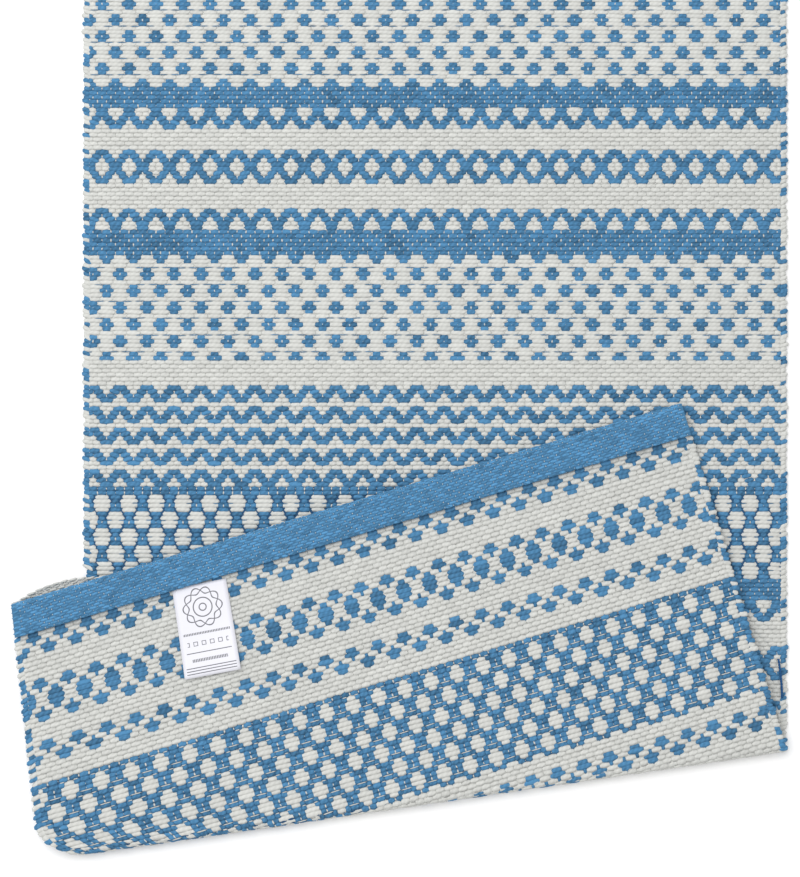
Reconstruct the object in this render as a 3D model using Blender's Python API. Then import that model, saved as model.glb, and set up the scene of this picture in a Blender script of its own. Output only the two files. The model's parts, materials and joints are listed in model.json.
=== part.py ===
"""Hand-woven cotton runner rug, its near end folded back over itself at a slant.

Frame: origin on the floor under the middle of the cloth, +X across the rug, +Y along it towards the
far end, +Z up. Metres. The cloth is laid out flat first, and everything past the fold is then carried
over by the fold's own transform.
"""

from math import cos, pi, radians, sin, asin

import bmesh
import bpy
from mathutils import Matrix, Vector

# weave: the cloth's width and length are so many warp ends and so many weft rows
END_PITCH = 0.00385
END_COUNT = 156
ROW_PITCH = 0.0036
CENTRE_ROWS = 12
CHAIN_BORDER_ROWS = 40
SPOTS_ROWS = 25
RIPPLE_ROWS = 30
OVALS_ROWS = 27
STRIPE_BORDER_ROWS = 52
HOUNDSTOOTH_ROWS = 28
END_BORDER_ROWS = 35
HEM_ROWS = 8

CLOTH_THICKNESS = 0.005
SELVEDGE_WIDTH = 0.006
TOUCH_GAP = 0.0003

# near fold
FOLD_ROWS = 180
FOLD_SLANT = radians(8.36)
FOLD_INNER_RADIUS = 0.003
CREASE_GAP = 0.001
TURN_SEGMENTS = 16

# seams, label, carried yarn
SEAM_THREAD_RADIUS = 0.0004
SEAM_INSET = 0.003
SEAM_END_INSET = 0.008
LABEL_WIDTH = 0.047
LABEL_LENGTH = 0.078
LABEL_THICKNESS = 0.0008
LABEL_FROM_EDGE = 0.138
LABEL_LEAN = radians(6)
YARN_RADIUS = 0.0011
YARN_LENGTH = 0.033
YARN_START_ROWS = 148
YARN_FROM_EDGE = 0.0068

# worked out from the above
HALF_WIDTH = END_COUNT * END_PITCH / 2
INNER_HALF_WIDTH = HALF_WIDTH - SELVEDGE_WIDTH - TOUCH_GAP
CENTRE_END = CENTRE_ROWS * ROW_PITCH
CHAIN_END = CENTRE_END + CHAIN_BORDER_ROWS * ROW_PITCH
SPOTS_END = CHAIN_END + SPOTS_ROWS * ROW_PITCH
RIPPLE_END = SPOTS_END + RIPPLE_ROWS * ROW_PITCH
OVALS_END = RIPPLE_END + OVALS_ROWS * ROW_PITCH
STRIPE_END = OVALS_END + STRIPE_BORDER_ROWS * ROW_PITCH
HOUNDSTOOTH_END = STRIPE_END + HOUNDSTOOTH_ROWS * ROW_PITCH
HEM_START = HOUNDSTOOTH_END + END_BORDER_ROWS * ROW_PITCH
HALF_LENGTH = HEM_START + HEM_ROWS * ROW_PITCH

FOLD_OUTER_RADIUS = FOLD_INNER_RADIUS + CLOTH_THICKNESS
FOLD_MID_RADIUS = FOLD_INNER_RADIUS + CLOTH_THICKNESS / 2
TURN_LENGTH = pi * FOLD_MID_RADIUS
FOLD_ORIGIN = Vector((0, -FOLD_ROWS * ROW_PITCH, 0))
ALONG_FOLD = Vector((cos(FOLD_SLANT), sin(FOLD_SLANT), 0))
TO_MAIN = Vector((-sin(FOLD_SLANT), cos(FOLD_SLANT), 0))
UP = Vector((0, 0, 1))


def srgb(red, green, blue):
    return [((c / 255 + 0.055) / 1.055) ** 2.4 for c in (red, green, blue)] + [1.0]


def cloth_material(name, colour, roughness):
    material = bpy.data.materials.new(name)
    material.use_nodes = True
    shader = material.node_tree.nodes["Principled BSDF"]
    shader.inputs["Base Color"].default_value = colour
    shader.inputs["Roughness"].default_value = roughness
    shader.inputs["Metallic"].default_value = 0.0
    return material


def clear_scene():
    for thing in list(bpy.data.objects):
        bpy.data.objects.remove(thing)


def make_slab(name, low, high, material):
    """A box between two corners, as an object in the rug's collection."""
    mesh = bpy.data.meshes.new(name)
    body = bmesh.new()
    bmesh.ops.create_cube(body, size=1)
    low, high = Vector(low), Vector(high)
    size = high - low
    bmesh.ops.scale(body, vec=size, verts=body.verts)
    bmesh.ops.translate(body, vec=(low + high) / 2, verts=body.verts)
    body.to_mesh(mesh)
    body.free()
    mesh.materials.append(material)
    thing = bpy.data.objects.new(name, mesh)
    RUG.objects.link(thing)
    return thing


def trim(thing, point, away):
    """Cuts off what lies past point in the direction away, and closes the cut."""
    body = bmesh.new()
    body.from_mesh(thing.data)
    everything = body.verts[:] + body.edges[:] + body.faces[:]
    cut = bmesh.ops.bisect_plane(
        body, geom=everything, plane_co=point, plane_no=away, clear_outer=True, dist=1e-7
    )
    edges = [part for part in cut["geom_cut"] if isinstance(part, bmesh.types.BMEdge)]
    if edges:
        bmesh.ops.holes_fill(body, edges=edges)
    bmesh.ops.recalc_face_normals(body, faces=body.faces)
    body.to_mesh(thing.data)
    body.free()


def keep_main_side(thing):
    trim(thing, FOLD_ORIGIN, -TO_MAIN)


def keep_flap_side(thing):
    trim(thing, FOLD_ORIGIN - TO_MAIN * TURN_LENGTH, TO_MAIN)


def round_edges(thing, width, segments, wanted):
    """Bevels the edges whose midpoint satisfies wanted."""
    body = bmesh.new()
    body.from_mesh(thing.data)
    edges = [edge for edge in body.edges if wanted((edge.verts[0].co + edge.verts[1].co) / 2, edge)]
    bmesh.ops.bevel(body, geom=edges, offset=width, segments=segments, profile=0.5, affect="EDGES")
    body.to_mesh(thing.data)
    body.free()


def runs_along(edge, axis):
    direction = (edge.verts[1].co - edge.verts[0].co).normalized()
    return abs(direction.dot(axis)) > 0.9


def fold_over_matrix():
    """Carries the flat layout past the turn onto the top of the rug, then tips it down to lie on it."""
    turn_start = FOLD_ORIGIN - TO_MAIN * TURN_LENGTH
    half_turn_axis = FOLD_ORIGIN - TO_MAIN * (TURN_LENGTH / 2) + UP * FOLD_OUTER_RADIUS
    to_axis = Matrix.Translation(half_turn_axis)
    over = to_axis @ Matrix.Rotation(pi, 4, ALONG_FOLD) @ to_axis.inverted()
    landed = over @ turn_start
    underside = Vector((landed.x, landed.y, 2 * FOLD_OUTER_RADIUS - CLOTH_THICKNESS))
    far_corner = over @ Vector((HALF_WIDTH, -HALF_LENGTH, CLOTH_THICKNESS))
    reach = (far_corner - underside).dot(TO_MAIN)
    drop = 2 * FOLD_INNER_RADIUS - TOUCH_GAP
    to_hinge = Matrix.Translation(underside)
    tip = to_hinge @ Matrix.Rotation(-asin(drop / reach), 4, ALONG_FOLD) @ to_hinge.inverted()
    return tip @ over


def bend_point(point):
    """Where a point of the flat layout goes on the turn: across the fold it follows the arc."""
    offset = point - FOLD_ORIGIN
    past = -offset.dot(TO_MAIN)
    angle = past / FOLD_MID_RADIUS
    radius = FOLD_OUTER_RADIUS - point.z
    bent = FOLD_ORIGIN + ALONG_FOLD * offset.dot(ALONG_FOLD)
    bent -= TO_MAIN * (radius * sin(angle))
    bent.z = FOLD_OUTER_RADIUS - radius * cos(angle)
    return bent


def move(thing, matrix):
    thing.data.transform(matrix)
    thing.data.update()


def make_sections():
    """The woven sections between the selvedges, mirrored about the middle of the cloth."""
    half_gap = TOUCH_GAP / 2

    def section(name, start, end, material, side):
        near, far = sorted((side * start, side * end))
        low = (-INNER_HALF_WIDTH, near + half_gap, 0)
        high = (INNER_HALF_WIDTH, far - half_gap, CLOTH_THICKNESS)
        return make_slab(name, low, high, material)

    section("centre_spots_section", -CENTRE_END, CENTRE_END, PATTERNED, 1)
    whole = (
        ("chain_border", CENTRE_END, CHAIN_END, BORDER),
        ("spots_section", CHAIN_END, SPOTS_END, PATTERNED),
        ("ripple_section", SPOTS_END, RIPPLE_END, PATTERNED),
        ("ovals_section", RIPPLE_END, OVALS_END, PATTERNED),
    )
    for name, start, end, material in whole:
        section("near_" + name, start, end, material, -1)
        section("far_" + name, start, end, material, 1)
    section("far_stripe_border", OVALS_END, STRIPE_END, BORDER, 1)
    section("far_houndstooth_band", STRIPE_END, HOUNDSTOOTH_END, PATTERNED, 1)
    section("far_end_border", HOUNDSTOOTH_END, HEM_START, BORDER, 1)

    keep_main_side(section("near_stripe_border", OVALS_END, STRIPE_END, BORDER, -1))
    keep_main_side(section("near_houndstooth_band", STRIPE_END, HOUNDSTOOTH_END, PATTERNED, -1))
    for name, start, end, material in (
        ("flap_stripe_border", OVALS_END, STRIPE_END, BORDER),
        ("flap_houndstooth_band", STRIPE_END, HOUNDSTOOTH_END, PATTERNED),
        ("flap_end_border", HOUNDSTOOTH_END, HEM_START, BORDER),
    ):
        piece = section(name, start, end, material, -1)
        keep_flap_side(piece)
        move(piece, FOLD_OVER)


def make_selvedges():
    """The bundles of edge warps, rounded along their outer sides."""
    for side, hand in ((-1, "left"), (1, "right")):
        inner, outer = sorted((side * (HALF_WIDTH - SELVEDGE_WIDTH), side * HALF_WIDTH))

        def bar(name, near, far):
            low = (inner, near + TOUCH_GAP / 2, 0)
            high = (outer, far - TOUCH_GAP / 2, CLOTH_THICKNESS)
            piece = make_slab(name, low, high, BORDER)
            edge_x = side * HALF_WIDTH
            round_edges(
                piece,
                CLOTH_THICKNESS * 0.35,
                3,
                lambda mid, edge: runs_along(edge, Vector((0, 1, 0))) and abs(mid.x - edge_x) < 1e-5,
            )
            return piece

        bar("far_" + hand + "_selvedge", RIPPLE_END, HEM_START)
        keep_main_side(bar(hand + "_selvedge", -HALF_LENGTH, RIPPLE_END))
        flap_bar = bar("flap_" + hand + "_selvedge", -HEM_START, 0)
        keep_flap_side(flap_bar)
        move(flap_bar, FOLD_OVER)


def make_fold_turn():
    """The half-round stretch of cloth that joins the main length to the flap."""
    slack = HALF_WIDTH * 1.2
    piece = make_slab("fold_turn", (-slack, CREASE_GAP, 0), (slack, TURN_LENGTH - CREASE_GAP, CLOTH_THICKNESS), BORDER)
    body = bmesh.new()
    body.from_mesh(piece.data)
    for step in range(1, TURN_SEGMENTS):
        across = CREASE_GAP + (TURN_LENGTH - 2 * CREASE_GAP) * step / TURN_SEGMENTS
        everything = body.verts[:] + body.edges[:] + body.faces[:]
        bmesh.ops.bisect_plane(body, geom=everything, plane_co=(0, across, 0), plane_no=(0, 1, 0))
    body.to_mesh(piece.data)
    body.free()
    frame = Matrix((ALONG_FOLD, -TO_MAIN, -UP)).transposed().to_4x4()
    lay_flat = Matrix.Translation(FOLD_ORIGIN + UP * CLOTH_THICKNESS) @ frame
    move(piece, lay_flat)
    trim(piece, Vector((HALF_WIDTH, 0, 0)), Vector((1, 0, 0)))
    trim(piece, Vector((-HALF_WIDTH, 0, 0)), Vector((-1, 0, 0)))
    for vertex in piece.data.vertices:
        vertex.co = bend_point(vertex.co)
    body = bmesh.new()
    body.from_mesh(piece.data)
    bmesh.ops.triangulate(body, faces=body.faces)
    bmesh.ops.recalc_face_normals(body, faces=body.faces)
    body.to_mesh(piece.data)
    body.free()


def make_hems():
    """Each hem is the cloth's last rows turned back under the cloth: two layers and a round edge."""
    rounding = CLOTH_THICKNESS * 0.8

    def hem(name, side, bottom):
        near, far = sorted((side * (HEM_START + TOUCH_GAP / 2), side * HALF_LENGTH))
        piece = make_slab(name, (-HALF_WIDTH, near, bottom), (HALF_WIDTH, far, bottom + 2 * CLOTH_THICKNESS), HEM)
        outer_y = side * HALF_LENGTH
        round_edges(
            piece,
            rounding,
            4,
            lambda mid, edge: runs_along(edge, Vector((1, 0, 0))) and abs(mid.y - outer_y) < 1e-5,
        )
        return piece

    hem("far_hem", 1, 0)
    move(hem("near_hem", -1, -CLOTH_THICKNESS), FOLD_OVER)


def make_tube(name, points, radius, material):
    """A round thread or yarn through the given points, with closed ends."""
    curve = bpy.data.curves.new(name, "CURVE")
    curve.dimensions = "3D"
    curve.bevel_depth = radius
    curve.bevel_resolution = 2
    curve.use_fill_caps = True
    line = curve.splines.new("POLY")
    line.points.add(len(points) - 1)
    for spot, point in zip(line.points, points):
        spot.co = (*point, 1)
    curve.materials.append(material)
    thing = bpy.data.objects.new(name, curve)
    RUG.objects.link(thing)
    return thing


def make_seams():
    """The thread that holds each hem down, along its inner edge."""
    reach = HALF_WIDTH - SEAM_END_INSET
    line_y = HEM_START + SEAM_INSET
    lift = TOUCH_GAP + SEAM_THREAD_RADIUS
    top = 2 * CLOTH_THICKNESS + lift
    make_tube("far_hem_seam", [Vector((-reach, line_y, top)), Vector((reach, line_y, top))], SEAM_THREAD_RADIUS, THREAD)
    below = -CLOTH_THICKNESS - lift
    ends = [Vector((-reach, -line_y, below)), Vector((reach, -line_y, below))]
    make_tube("near_hem_seam", [FOLD_OVER @ end for end in ends], SEAM_THREAD_RADIUS, THREAD)


def make_label():
    """A ribbon leaf sewn in under the hem's inner edge, lying on the cloth's back and leaning a little."""
    left = -HALF_WIDTH + LABEL_FROM_EDGE
    spare = LABEL_WIDTH * sin(LABEL_LEAN)
    low = (-LABEL_WIDTH / 2, -spare, -LABEL_THICKNESS - TOUCH_GAP)
    high = (LABEL_WIDTH / 2, LABEL_LENGTH, -TOUCH_GAP)
    piece = make_slab("care_label", low, high, SATIN)
    root_y = -HEM_START + 2 * TOUCH_GAP
    place = Matrix.Translation((left + LABEL_WIDTH / 2, root_y, 0)) @ Matrix.Rotation(LABEL_LEAN, 4, "Z")
    move(piece, place)
    trim(piece, Vector((0, root_y, 0)), Vector((0, -1, 0)))
    move(piece, FOLD_OVER)


def make_carried_yarn():
    """A blue weft yarn carried along the right selvedge from one stripe to the next."""
    x = HALF_WIDTH - YARN_FROM_EDGE
    height = CLOTH_THICKNESS + TOUCH_GAP + YARN_RADIUS
    steps = 6
    bow = 0.003
    points = []
    for step in range(steps + 1):
        share = step / steps
        side = x + bow * sin(share * pi / 2)
        points.append(Vector((side, -YARN_START_ROWS * ROW_PITCH - YARN_LENGTH * share, height)))
    make_tube("carried_blue_yarn", points, YARN_RADIUS, BLUE_YARN)


clear_scene()
RUG = bpy.data.collections.new("runner_rug")
bpy.context.scene.collection.children.link(RUG)
FOLD_OVER = fold_over_matrix()

PATTERNED = cloth_material("patterned_weave", srgb(150, 172, 188), 0.92)
BORDER = cloth_material("white_weft", srgb(206, 206, 200), 0.92)
HEM = cloth_material("blue_weft", srgb(80, 131, 172), 0.9)
BLUE_YARN = cloth_material("carried_blue_weft", srgb(60, 108, 160), 0.9)
THREAD = cloth_material("hem_thread", srgb(78, 128, 170), 0.7)
SATIN = cloth_material("label_satin", srgb(222, 222, 228), 0.45)

make_sections()
make_selvedges()
make_fold_turn()
make_hems()
make_seams()
make_label()
make_carried_yarn()
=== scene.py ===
import json
import math

import bpy
import numpy as np
from mathutils import Matrix, Vector


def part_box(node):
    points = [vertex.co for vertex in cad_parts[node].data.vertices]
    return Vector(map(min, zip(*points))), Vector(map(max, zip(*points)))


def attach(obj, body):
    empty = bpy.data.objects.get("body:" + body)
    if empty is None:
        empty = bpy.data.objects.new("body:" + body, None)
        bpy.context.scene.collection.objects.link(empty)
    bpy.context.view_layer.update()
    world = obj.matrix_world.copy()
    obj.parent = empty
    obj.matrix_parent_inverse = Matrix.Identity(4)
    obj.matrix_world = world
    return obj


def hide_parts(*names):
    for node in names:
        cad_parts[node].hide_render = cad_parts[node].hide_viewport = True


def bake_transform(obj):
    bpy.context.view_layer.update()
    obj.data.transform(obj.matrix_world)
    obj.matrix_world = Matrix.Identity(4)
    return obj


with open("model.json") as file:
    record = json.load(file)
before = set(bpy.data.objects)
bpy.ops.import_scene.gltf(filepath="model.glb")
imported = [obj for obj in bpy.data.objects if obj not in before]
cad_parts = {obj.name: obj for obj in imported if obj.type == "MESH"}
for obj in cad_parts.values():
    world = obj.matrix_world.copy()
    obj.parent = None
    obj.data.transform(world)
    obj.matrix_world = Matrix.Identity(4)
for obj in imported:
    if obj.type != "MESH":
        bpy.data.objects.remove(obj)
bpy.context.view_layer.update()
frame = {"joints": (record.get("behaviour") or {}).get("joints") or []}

# everything about the cloth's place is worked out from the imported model
joints = {joint["name"]: joint for joint in frame["joints"]}
lowerCrease = Vector(joints["near_fold_lower"]["pos_m"])
upperCrease = Vector(joints["near_fold_upper"]["pos_m"])
farCrease = Vector(joints["far_fold"]["pos_m"])
alongFold = Vector(joints["near_fold_lower"]["axis"]).normalized()
toMain = Vector((-alongFold.y, alongFold.x, 0))
thickness = 2 * lowerCrease.z
midRadius = (upperCrease.z - lowerCrease.z) / 2
outerRadius = midRadius + thickness / 2
turnLength = math.pi * midRadius
foldOrigin = lowerCrease + toMain * midRadius
foldOrigin.z = 0
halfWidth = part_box("far_hem")[1].x
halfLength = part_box("far_hem")[1].y
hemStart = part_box("far_end_border")[1].y

cloth = {
    "ends": 156,             # warp ends across the width
    "repeat": 6,             # ends in one repeat of the pattern
    "hump": 4.0,             # where the first wave of each row peaks, in ends
    "relief": 0.00082,       # how far a weft float stands out of the ground cloth
    "skin": 0.0008,          # the ground cloth lies this far inside the floats
    "inset": 0.0045,         # and stops this far short of the cloth's edges
    "floatWidth": 0.70,      # half a float's width, as a share of the row pitch
    "edge": 0.0042,          # the last stretch of a row, where the weft turns
    "touch": 0.0003,         # the gap between neighbouring solids
    "turnCuts": 12,          # facets of the ground cloth round the fold
    "farReach": 0.0085,      # half the length that bends when the far end folds over
}
colours = {
    "white": (205, 206, 202),
    "blue": (71, 121, 159),
    "deepBlue": (44, 96, 150),
    "hemBlue": (84, 140, 182),
    "satin": (222, 222, 230),
    "ink": (52, 52, 62),
    "floor": (252, 252, 252),
}
endPitch = 2 * halfWidth / cloth["ends"]
chance = np.random.default_rng(11)


def linear(name, gain=1.0):
    return [min(1.0, gain * ((c / 255 + 0.055) / 1.055) ** 2.4) for c in colours[name]] + [1.0]


def foldOverMatrix():
    # carries the flat cloth past the turn onto the top of the rug, then tips it down onto it
    turnStart = foldOrigin - toMain * turnLength
    axisPoint = foldOrigin - toMain * (turnLength / 2) + Vector((0, 0, outerRadius))
    halfRound = Matrix.Rotation(math.pi, 4, alongFold)
    over = Matrix.Translation(axisPoint) @ halfRound @ Matrix.Translation(-axisPoint)
    landed = over @ turnStart
    underside = Vector((landed.x, landed.y, 2 * outerRadius - thickness))
    farCorner = over @ Vector((halfWidth, -halfLength, thickness))
    drop = 2 * (outerRadius - thickness) - cloth["touch"]
    tip = -math.asin(drop / (farCorner - underside).dot(toMain))
    turned = Matrix.Rotation(tip, 4, alongFold)
    return Matrix.Translation(underside) @ turned @ Matrix.Translation(-underside) @ over


foldOver = np.array(foldOverMatrix())
foldLine = np.array(foldOrigin)
along = np.array(alongFold)
main = np.array(toMain)


def acrossFold(points):
    # distance in front of the fold line, negative past it
    return (points - foldLine) @ main


# the loose cloth spreads to the left near the fold, and its corner there is round
bow = {
    "reach": 0.031,          # how far it spreads
    "length": 0.205,         # how far from the fold the spread begins
    "hollow": -0.1,          # the edge first draws in a little, as a share of the reach
    "hollowEnd": 1.2,        # as a share of the length
    "corner": 0.034,         # the size of the round corner
    "dip": 1.0,              # how far the corner draws in, as a share of the reach
    "edgeward": 2.5,         # a higher power keeps the spread nearer the edge
}


def bowOut(points):
    past = np.abs(acrossFold(points) + turnLength / 2)
    rise = np.clip(1 - (past - bow["corner"]) / (bow["length"] - bow["corner"]), bow["hollow"], 1)
    rise *= past < bow["hollowEnd"] * bow["length"]
    dip = np.clip(1 - past / bow["corner"], 0, 1)
    share = np.clip(-points[:, 0] / halfWidth, 0, 1) ** bow["edgeward"]
    return bow["reach"] * share * (rise - bow["dip"] * dip ** 2)


def place(points):
    # takes points of the flat cloth to where they lie, round the turn and onto the flap
    across = acrossFold(points)
    points = points.copy()
    points[:, 0] -= bowOut(points)
    out = points.copy()
    turn = (across < 0) & (across > -turnLength)
    flap = across <= -turnLength
    if turn.any():
        angle = -across[turn] / midRadius
        radius = outerRadius - points[turn, 2]
        reach = (points[turn] - foldLine) @ along
        bent = foldLine + reach[:, None] * along - (radius * np.sin(angle))[:, None] * main
        bent[:, 2] = outerRadius - radius * np.cos(angle)
        out[turn] = bent
    if flap.any():
        out[flap] = points[flap] @ foldOver[:3, :3].T + foldOver[:3, 3]
    return out


# the weave, drawn as a weaver's chart: spans are in warp ends from the hump of the wave,
# w is a white float, b a blue one, W and B fat ones, v a pointed white one, p and P pointed blue ones,
# d a white warp end that shows between two floats, t a thin blue thread between two rows that paints the shadow
# line between white floats, h a thin white thread between two rows, and a float after < or > climbs to the left
# or to the right
draft = {
    "A": "B-1.65:1.65 w1.45:3.05 w2.95:4.55",
    "B": "b>-2.4:.02 b<-.02:2.4 w2.25:3.75",
    "C": "b<.6:3.02 b>2.98:5.4 w-.75:.75",
    "D": "B1.35:4.65 w-1.5:.05 w-.05:1.5",
    "V": "W1.3:4.7 b-1.4:1.4",
    "U": "W-1.7:1.7 b1.6:4.4",
    "T": "B-1.0:1.0 W.75:5.25",
    "M": "P-2.05:2.05 d0 W1.3:4.7",
    "S": "W-1.7:1.7 W1.3:4.7 t.5:2.7 t3.3:5.5",
    "O": "W-1.7:1.7 b1.8:4.2",
    # the thin blue threads in the oval's middle paint the shadow line between its two white floats
    "P": "W-2.3:2.3 b2.3:3.7 t-2.2:-.7 t.7:2.2",
    "Q": "W-2.3:2.3 p1.7:3.1 p2.9:4.3 d3",
    "R": "W-1.7:1.7 b1.8:4.2",
    "K": "b-.95:.95 b1.05:2.95 b3.05:4.95 d1 d3 d5",
    "N": "P-1.35:1.35 w1.05:3.05 w2.95:4.95",
    "L": "P-2.1:2.1 w1.6:4.4",
    "s": "p-.4:.4 p2.6:3.4 w.15:2.85 w3.15:5.85",
    "k": "p-.4:.4 P2.1:3.9 w.15:2.4 w3.6:5.85",
    "G": "P1.2:4.8 w-1.5:1.5",
    "H": "P.95:5.05 w-1.3:1.3",
    "e": "b-1.0:1.0 v1.9:4.1 b.9:2.1 b3.9:5.1 h-1.3:1.3",
    "f": "p-1.5:.1 p-.1:1.5 d0 W.85:5.15",
    "g": "b-1.0:1.0 v1.9:4.1 b.9:2.1 b3.9:5.1 h1.2:2.2 h3.8:4.8",
    "c": "p-1.8:-.1 p.1:1.8 d0 W1.3:4.7",
}
leanOf = {"<": 1, ">": -1}
yarnOf = {"w": "w", "W": "w", "v": "w", "b": "b", "B": "b", "p": "b", "P": "b", "d": "d", "t": "t", "h": "h"}
plainFloat = (-0.14, 2.14)   # where a float of plain weave starts and ends, in warp ends
floatRules = {
    "threads": 0.7,          # the share of the thin blue threads that show; they paint the shadow line between white floats
    "shortest": 0.45,        # a float cut shorter than this at the edge is left out, in warp ends
    "pointedFrom": 2.5,      # white floats longer than this are pointed
}
waveRows = ["A0", "B0", "C0", "D0"]
chainRows = ["A0", "B0", "C0", "D0", "D0", "C0", "B0", "A0"]
backWaveRows = ["N0", "L0", "s0", "L3", "N3"]
backChainRows = ["N0", "L0", "k0", "G0", "H0", "G0", "k0", "L0", "N0"]


def spotRows(count, shift):
    # spots a half repeat apart in turn, each over three rows, with a white row between
    rows = []
    for row in range(count):
        step = (row + 2) // 4
        letter = "MTST"[row % 4]
        rows.append(letter + str((shift + 3 * step) % 6))
    return rows


def ovalRows(units, shift):
    return [letter + str((shift + 3 * unit) % 6) for unit in range(units) for letter in "OPQR"]


def starRows(units, shift):
    return [letter + str((shift + 3 * unit) % 6) for unit in range(units) for letter in "gffe"]


white, blue = ["white"], ["blue"]
ripple = (["A0", "B0", "C0", "D0", "white"] * 5)[:-1]
endBack = backWaveRows + white * 5 + backChainRows + white * 4 + backWaveRows + white * 4
houndBack = ["c0"] + starRows(6, 0)[::-1] + ["K0"]
stripeBack = white * 3 + backWaveRows + white * 5 + backChainRows + white * 4 + backWaveRows + white * 4
stripeBack = white * 3 + backWaveRows + white * 5 + stripeBack
# each section's rows from the middle of the cloth outwards: its face, its back, and the colour beneath
weaving = {
    "centre_spots_section": (spotRows(25, 3), spotRows(25, 0), "white"),
    "chain_border": (
        blue * 5 + ["V0"] + waveRows + white * 5 + chainRows + white * 6 + waveRows + ["U0"] + blue * 6,
        blue * 5 + white + backWaveRows + white * 4 + backChainRows + white * 5 + backWaveRows + blue * 6,
        "white",
    ),
    "spots_section": (spotRows(25, 3), spotRows(25, 0), "white"),
    "ripple_section": (white * 6 + ripple, white * 6 + ["L0", "s0", "L3", "white"] * 6, "white"),
    "ovals_section": (["K0"] + blue + ovalRows(5, 0) + blue * 5, ["K0"] + starRows(5, 0) + blue * 5, "blue"),
    "stripe_border": (
        ["V0"] + waveRows + white * 6 + chainRows + white * 5 + waveRows + white * 5 + chainRows
        + white * 5 + waveRows + white * 2,
        stripeBack[::-1],
        "white",
    ),
    "houndstooth_band": (["K0"] + ovalRows(6, 0) + ["T0"], houndBack, "blue"),
    "end_border": (
        white * 4 + waveRows + white * 5 + chainRows + white * 5 + waveRows + white * 4,
        endBack[::-1],
        "white",
    ),
}
patternShift = {"spots_section": -2, "ripple_section": -2}


def readRow(code, row):
    # the floats and dots of one row, as (kind, start, end, climb) over one repeat
    if code in ("white", "blue"):
        offset = row % 2
        spans = [(code[0], offset + start + plainFloat[0], offset + start + plainFloat[1], 0)
                 for start in (0, 2, 4)]
        if code == "blue":
            spans += [("d", offset + start, offset + start, 0) for start in (0, 2, 4)]
        return spans
    spans = []
    for word in draft[code[0]].split():
        climb = leanOf.get(word[1], 0)
        start, _, end = word[2 if climb else 1:].partition(":")
        shift = int(code[1:])
        spans.append((word[0], float(start) + shift, float(end or start) + shift, climb))
    return spans


def weaveFace(rows, low, high, side, shift):
    # every float of one face, by yarn: middle across, middle along, half length, row pitch, climb, fat, pointed
    floats = {"w": [], "b": [], "d": [], "t": [], "h": []}
    pitch = (high - low) / len(rows)
    first = cloth["edge"] / endPitch
    last = cloth["ends"] - first
    beads = []
    for row, code in enumerate(rows):
        middle = side * (low + (row + 0.5) * pitch)
        between = middle + side * pitch / 2
        edgeKind = ["w", "w"]
        for kind, start, end, climb in readRow(code, row):
            rowPlace = between if kind in "th" else middle
            pointed = kind in "pPv" or (kind in "wW" and end - start > floatRules["pointedFrom"])
            colour = "w" if yarnOf[kind] in "wh" else "b"
            for repeat in range(-2, cloth["ends"] // cloth["repeat"] + 2):
                move = cloth["hump"] + shift + repeat * cloth["repeat"]
                left, right = start + move, end + move
                if kind == "d":
                    if not first < left < last:
                        continue
                else:
                    if kind == "t" and chance.random() > floatRules["threads"]:
                        continue
                    if left < first < right:
                        edgeKind[0] = colour
                    if left < last < right:
                        edgeKind[1] = colour
                    left, right = max(left, first), min(right, last)
                    if right - left < floatRules["shortest"]:
                        continue
                x = ((left + right) / 2 - cloth["ends"] / 2) * endPitch
                floats[yarnOf[kind]].append((x, rowPlace, (right - left) / 2 * endPitch, pitch, -side * climb,
                                             kind in "WBP", pointed))
        beads.append((middle, pitch, edgeKind, row))
    return floats, beads


def modelLens(segments, rings, fullness):
    # one float of weft: a slim closed lens along X, a little blunt at its tips
    bpy.ops.object.select_all(action="DESELECT")
    bpy.ops.mesh.primitive_uv_sphere_add(segments=segments, ring_count=rings, radius=1,
                                         rotation=(0, math.pi / 2, 0))
    lens = bpy.context.active_object
    bpy.ops.object.transform_apply(location=False, rotation=True, scale=False)
    for vertex in lens.data.vertices:
        radius = math.hypot(vertex.co.y, vertex.co.z)
        if radius > 1e-4:
            vertex.co.y *= radius ** fullness / radius
            vertex.co.z *= radius ** fullness / radius
    shape = np.array([vertex.co for vertex in lens.data.vertices])
    # a five-sided lens is turned so that one edge runs along its top
    roll = math.pi / 2 - math.atan2(shape[np.argmax(shape[:, 1]), 2], shape[np.argmax(shape[:, 1]), 1])
    y, z = shape[:, 1].copy(), shape[:, 2].copy()
    shape[:, 1] = y * math.cos(roll) - z * math.sin(roll)
    shape[:, 2] = y * math.sin(roll) + z * math.cos(roll)
    faces = [list(face.vertices) for face in lens.data.polygons]
    bpy.data.objects.remove(lens)
    return shape, faces


def meshFrom(name, points, faceCorners, faceSizes, tones, yarnMap, flatMap, materials, materialIndex):
    mesh = bpy.data.meshes.new(name)
    mesh.vertices.add(len(points))
    mesh.vertices.foreach_set("co", points.astype(np.float32).ravel())
    mesh.loops.add(len(faceCorners))
    mesh.loops.foreach_set("vertex_index", faceCorners.astype(np.int32))
    mesh.polygons.add(len(faceSizes))
    starts = np.concatenate(([0], np.cumsum(faceSizes)[:-1]))
    mesh.polygons.foreach_set("loop_start", starts.astype(np.int32))
    for material in materials:
        mesh.materials.append(material)
    mesh.polygons.foreach_set("material_index", materialIndex.astype(np.int32))
    mesh.update(calc_edges=True)
    mesh.shade_smooth()
    tone = mesh.attributes.new("tone", "FLOAT", "POINT")
    tone.data.foreach_set("value", tones.astype(np.float32))
    for mapName, values in (("yarnMap", yarnMap), ("OFBake", flatMap)):
        layer = mesh.uv_layers.new(name=mapName)
        layer.uv.foreach_set("vector", values[faceCorners].astype(np.float32).ravel())
    piece = bpy.data.objects.new(name, mesh)
    bpy.context.scene.collection.objects.link(piece)
    return piece


strandMap = {"length": 0.01, "toneShift": 7.3}   # metres of yarn to one unit of its map, and a start of its own


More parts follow.
